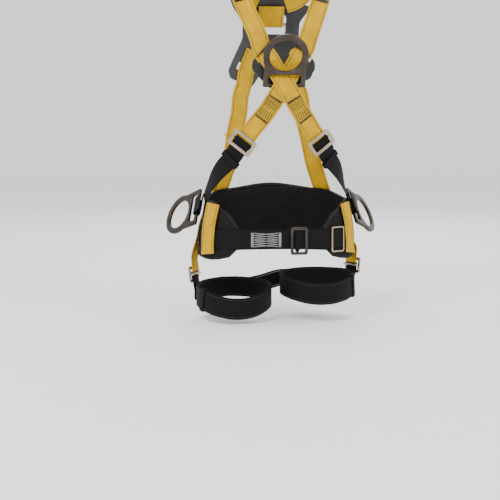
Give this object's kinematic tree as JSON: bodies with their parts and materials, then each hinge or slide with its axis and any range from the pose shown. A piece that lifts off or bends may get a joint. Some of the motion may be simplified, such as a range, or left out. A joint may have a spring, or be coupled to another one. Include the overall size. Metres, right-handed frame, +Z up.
{
  "type": "full-body safety harness",
  "caption": "Full-body fall-arrest harness with crossed shoulder straps, metal attachment rings, a padded waist belt and leg loops.",
  "frame": {"origin": "middle of the wearer's waist, at half the height of the waist belt", "axes": "+Z up, the wearer faces -Y, +X is the wearer's left"},
  "size_m": [0.5306, 0.3417, 0.9059],
  "materials": {
    "yellow_webbing": "woven polyester",
    "black_webbing": "woven polyester",
    "pad_cover": "padded mesh fabric",
    "label_sleeve": "coated fabric",
    "grey_plastic": "moulded",
    "black_plastic": "moulded",
    "dark_steel": "dark plated",
    "pale_steel": "pale plated",
    "champagne_steel": "champagne plated",
    "gunmetal": "gunmetal plated",
    "tag_white": "printed tag"
  },
  "bodies": {
    "harness": {"shoulder_strap_right": "yellow_webbing", "shoulder_sleeve_right": "black_webbing", "shoulder_pad_right": "pad_cover", "shoulder_strap_left": "yellow_webbing", "shoulder_sleeve_left": "label_sleeve", "shoulder_pad_left": "pad_cover", "shoulder_right_ring_loop": "black_webbing", "shoulder_left_ring_loop": "black_webbing", "chest_plate": "black_plastic", "front_strap_right": "black_webbing", "front_strap_left": "black_webbing", "dorsal_plate": "grey_plastic", "dorsal_ring_loop": "yellow_webbing", "back_strap_right": "yellow_webbing", "fall_indicator_right": "yellow_webbing", "indicator_tag_right": "tag_white", "back_strap_left": "yellow_webbing", "fall_indicator_left": "yellow_webbing", "indicator_tag_left": "tag_white", "back_belt": "black_webbing", "back_centre_strap": "yellow_webbing", "back_centre_keeper_upper": "black_webbing", "back_centre_keeper_lower": "black_webbing", "waist_pad": "pad_cover", "hip_strip_right": "yellow_webbing", "back_strip_right": "yellow_webbing", "hip_strip_left": "yellow_webbing", "back_strip_left": "yellow_webbing", "waist_belt_right": "black_webbing", "waist_belt_left": "black_webbing", "side_right_ring_loop": "black_webbing", "side_left_ring_loop": "black_webbing", "leg_riser_right": "black_webbing", "leg_band_right": "black_webbing", "leg_riser_left": "black_webbing", "leg_band_left": "black_webbing", "seat_strap": "black_webbing"},
    "chest_d_ring": {"chest_d_ring": "dark_steel"},
    "dorsal_d_ring": {"dorsal_d_ring": "pale_steel"},
    "side_right_d_ring": {"side_right_d_ring": "dark_steel"},
    "shoulder_right_d_ring": {"shoulder_right_d_ring": "champagne_steel"},
    "chest_adjuster_right": {"chest_adjuster_right": "champagne_steel"},
    "leg_adjuster_right": {"leg_adjuster_right": "champagne_steel"},
    "chest_adjuster_right_bar": {"chest_adjuster_right_bar": "champagne_steel"},
    "leg_adjuster_right_bar": {"leg_adjuster_right_bar": "champagne_steel"},
    "front_keeper_right": {"front_keeper_right": "black_webbing"},
    "leg_keeper_right": {"leg_keeper_right": "black_webbing"},
    "side_left_d_ring": {"side_left_d_ring": "dark_steel"},
    "shoulder_left_d_ring": {"shoulder_left_d_ring": "champagne_steel"},
    "chest_adjuster_left": {"chest_adjuster_left": "champagne_steel"},
    "leg_adjuster_left": {"leg_adjuster_left": "champagne_steel"},
    "chest_adjuster_left_bar": {"chest_adjuster_left_bar": "champagne_steel"},
    "leg_adjuster_left_bar": {"leg_adjuster_left_bar": "champagne_steel"},
    "front_keeper_left": {"front_keeper_left": "black_webbing"},
    "leg_keeper_left": {"leg_keeper_left": "black_webbing"},
    "waist_buckle": {"waist_buckle": "gunmetal"},
    "waist_buckle_bar": {"waist_buckle_bar": "gunmetal"},
    "belt_slide": {"belt_slide": "champagne_steel"}
  },
  "joints": [
    {"name": "chest_d_ring_swing", "type": "hinge", "parent": "harness", "child": "chest_d_ring", "pos_m": [0, -0.13642, 0.363], "axis": [1, 0, 0], "range_deg": [0, 95]},
    {"name": "dorsal_d_ring_swing", "type": "hinge", "parent": "harness", "child": "dorsal_d_ring", "pos_m": [0, 0.12593, 0.52796], "axis": [1, 0, 0], "range_deg": [0, 150]},
    {"name": "side_right_d_ring_swing", "type": "hinge", "parent": "harness", "child": "side_right_d_ring", "pos_m": [-0.1938, 0.015, 0.071], "axis": [0.1802, 0.5105, 0.8408], "range_deg": [-18, 100]},
    {"name": "shoulder_right_d_ring_swing", "type": "hinge", "parent": "harness", "child": "shoulder_right_d_ring", "pos_m": [-0.10661, 0.01421, 0.6494], "axis": [0.9331, 0.0323, 0.3582], "range_deg": [-45, 45]},
    {"name": "chest_adjuster_right_swing", "type": "hinge", "parent": "harness", "child": "chest_adjuster_right", "pos_m": [-0.08577, -0.10908, 0.24201], "axis": [-0.7746, 0.1665, 0.6102], "range_deg": [0, 45]},
    {"name": "leg_adjuster_right_swing", "type": "hinge", "parent": "harness", "child": "leg_adjuster_right", "pos_m": [-0.205, 0.042, -0.084], "axis": [0.3788, 0.9248, -0.0368], "range_deg": [0, 45]},
    {"name": "chest_adjuster_right_bar_slide", "type": "slide", "parent": "harness", "child": "chest_adjuster_right_bar", "axis": [0.5642, -0.2544, 0.7855], "range_m": [-0.0015, 0.0006]},
    {"name": "leg_adjuster_right_bar_slide", "type": "slide", "parent": "harness", "child": "leg_adjuster_right_bar", "axis": [-0.1012, 0.0809, 0.9916], "range_m": [-0.0015, 0.0006]},
    {"name": "front_keeper_right_slide", "type": "slide", "parent": "harness", "child": "front_keeper_right", "axis": [0.5409, -0.4762, 0.6934], "range_m": [-0.006, 0]},
    {"name": "leg_keeper_right_slide", "type": "slide", "parent": "harness", "child": "leg_keeper_right", "axis": [-0.4591, 0.8687, 0.1858], "range_m": [-0.003, 0.003]},
    {"name": "side_left_d_ring_swing", "type": "hinge", "parent": "harness", "child": "side_left_d_ring", "pos_m": [0.1938, 0.015, 0.071], "axis": [0.1802, -0.5105, -0.8408], "range_deg": [-18, 100]},
    {"name": "shoulder_left_d_ring_swing", "type": "hinge", "parent": "harness", "child": "shoulder_left_d_ring", "pos_m": [0.10661, 0.0137, 0.6494], "axis": [0.9332, -0.0241, -0.3584], "range_deg": [-45, 45]},
    {"name": "chest_adjuster_left_swing", "type": "hinge", "parent": "harness", "child": "chest_adjuster_left", "pos_m": [0.08577, -0.10908, 0.24201], "axis": [-0.7746, -0.1665, -0.6102], "range_deg": [0, 45]},
    {"name": "leg_adjuster_left_swing", "type": "hinge", "parent": "harness", "child": "leg_adjuster_left", "pos_m": [0.205, 0.042, -0.066], "axis": [0.3788, -0.9248, 0.0368], "range_deg": [0, 45]},
    {"name": "chest_adjuster_left_bar_slide", "type": "slide", "parent": "harness", "child": "chest_adjuster_left_bar", "axis": [-0.5642, -0.2544, 0.7855], "range_m": [-0.0015, 0.0006]},
    {"name": "leg_adjuster_left_bar_slide", "type": "slide", "parent": "harness", "child": "leg_adjuster_left_bar", "axis": [0.1012, 0.0809, 0.9916], "range_m": [-0.0015, 0.0006]},
    {"name": "front_keeper_left_slide", "type": "slide", "parent": "harness", "child": "front_keeper_left", "axis": [-0.5409, -0.4762, 0.6934], "range_m": [-0.006, 0]},
    {"name": "leg_keeper_left_slide", "type": "slide", "parent": "harness", "child": "leg_keeper_left", "axis": [0.4592, 0.8721, 0.1688], "range_m": [-0.003, 0.003]},
    {"name": "waist_buckle_swing", "type": "hinge", "parent": "harness", "child": "waist_buckle", "pos_m": [0.02241, -0.12454, -0.00288], "axis": [0, -0.0122, -0.9999], "range_deg": [0, 45]},
    {"name": "waist_buckle_bar_slide", "type": "slide", "parent": "harness", "child": "waist_buckle_bar", "axis": [-0.9991, -0.0428, 0.0005], "range_m": [-0.0015, 0.0006]},
    {"name": "belt_slide_swing", "type": "hinge", "parent": "harness", "child": "belt_slide", "pos_m": [0.12258, -0.1065, -0.00177], "axis": [0.0077, -0.0188, -0.9998], "range_deg": [0, 40]}
  ]
}
